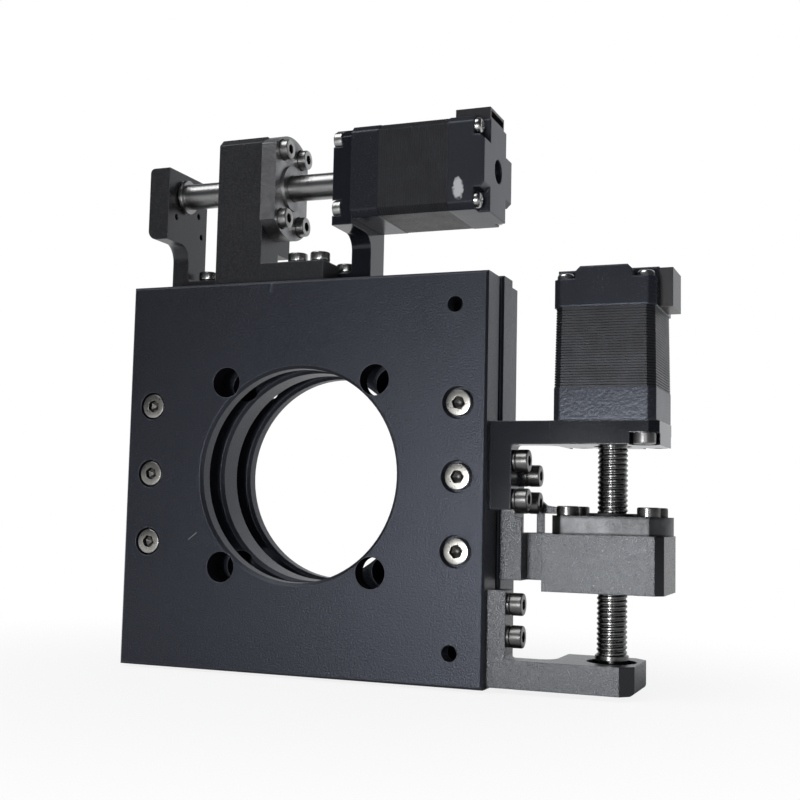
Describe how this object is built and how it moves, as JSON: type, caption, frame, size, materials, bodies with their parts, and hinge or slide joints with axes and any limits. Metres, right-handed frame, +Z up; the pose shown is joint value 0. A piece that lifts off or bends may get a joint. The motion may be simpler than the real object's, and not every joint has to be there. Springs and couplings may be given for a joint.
{
  "type": "motorized xy stage",
  "caption": "Slim two-axis slide stage with a clear central aperture; a small stepper motor, ball screw and nut on each of two sides move the plates on crossed roller rails.",
  "frame": {"origin": "centre of the aperture, on the front face of the stage plate", "axes": "+X to the right along the upper screw, +Y away from the front face into the stage, +Z up along the side screw"},
  "size_m": [0.1222, 0.0254, 0.1218],
  "materials": {
    "black_anodised": "bead blasted, black anodised",
    "rail_steel": "ground",
    "bearing_steel": "polished",
    "cage_brass": "stamped",
    "stainless": "turned",
    "nut_steel": "dark ground steel",
    "screw_steel": "rolled thread",
    "rotor_steel": "machined",
    "motor_black": "gloss black",
    "stack_steel": "satin black laminations",
    "connector_plastic": "matt"
  },
  "bodies": {
    "base": {"base_plate": "black_anodised", "base_rails": "rail_steel", "base_rail_screws": "stainless", "x_motor_bracket": "black_anodised", "x_bearing_bracket": "black_anodised", "x_bearing": "bearing_steel", "x_motor_front_cap": "motor_black", "x_motor_stack": "stack_steel", "x_motor_rear_cap": "motor_black", "x_motor_connector": "connector_plastic", "x_motor_body_screws": "stainless", "x_motor_mount_screws": "stainless", "x_bracket_screws": "stainless", "x_bracket_washers": "stainless"},
    "x_screw_shaft": {"x_screw": "screw_steel", "x_rotor": "rotor_steel"},
    "carriage": {"middle_plate": "black_anodised", "middle_front_rails": "rail_steel", "middle_back_rails": "rail_steel", "middle_front_rail_screws": "stainless", "middle_back_rail_screws": "stainless", "x_nut_bracket": "black_anodised", "x_ball_nut": "nut_steel", "x_nut_foot_screws": "stainless", "x_nut_foot_washers": "stainless", "x_nut_flange_screws": "stainless", "z_nut_bracket": "black_anodised", "z_ball_nut": "nut_steel", "z_nut_foot_screws": "stainless", "z_nut_foot_washers": "stainless", "z_nut_flange_screws": "stainless"},
    "stage": {"front_plate": "black_anodised", "front_rails": "rail_steel", "front_rail_screws": "stainless", "z_motor_bracket": "black_anodised", "z_bearing_bracket": "black_anodised", "z_bearing": "bearing_steel", "z_motor_front_cap": "motor_black", "z_motor_stack": "stack_steel", "z_motor_rear_cap": "motor_black", "z_motor_connector": "connector_plastic", "z_motor_body_screws": "stainless", "z_motor_mount_screws": "stainless", "z_bracket_screws": "stainless", "z_bracket_washers": "stainless"},
    "z_screw_shaft": {"z_screw": "screw_steel", "z_rotor": "rotor_steel"},
    "x_cage": {"x_roller_cages": "cage_brass", "x_rollers": "bearing_steel"},
    "z_cage": {"z_roller_cages": "cage_brass", "z_rollers": "bearing_steel"}
  },
  "joints": [
    {"name": "x_slide", "type": "slide", "parent": "base", "child": "carriage", "axis": [1, 0, 0], "range_m": [-0.005, 0.005]},
    {"name": "x_screw_turn", "type": "hinge", "parent": "base", "child": "x_screw_shaft", "pos_m": [0, 0.0153, 0.0665], "axis": [1, 0, 0], "range_deg": [-1801, 1801]},
    {"name": "x_cage_slide", "type": "slide", "parent": "base", "child": "x_cage", "axis": [1, 0, 0], "range_m": [-0.0026, 0.0026]},
    {"name": "z_slide", "type": "slide", "parent": "carriage", "child": "stage", "axis": [0, 0, 1], "range_m": [-0.005, 0.005]},
    {"name": "z_screw_turn", "type": "hinge", "parent": "stage", "child": "z_screw_shaft", "pos_m": [0.0653, 0.0112, 0], "axis": [0, 0, 1], "range_deg": [-1801, 1801]},
    {"name": "z_cage_slide", "type": "slide", "parent": "carriage", "child": "z_cage", "axis": [0, 0, 1], "range_m": [-0.0026, 0.0026]}
  ],
  "couplings": [
    {"joint": "x_screw_turn", "follows": "x_slide", "rad_per_m": 6283.2},
    {"joint": "x_cage_slide", "follows": "x_slide", "ratio": 0.5},
    {"joint": "z_screw_turn", "follows": "z_slide", "rad_per_m": 6283.2},
    {"joint": "z_cage_slide", "follows": "z_slide", "ratio": 0.5}
  ]
}
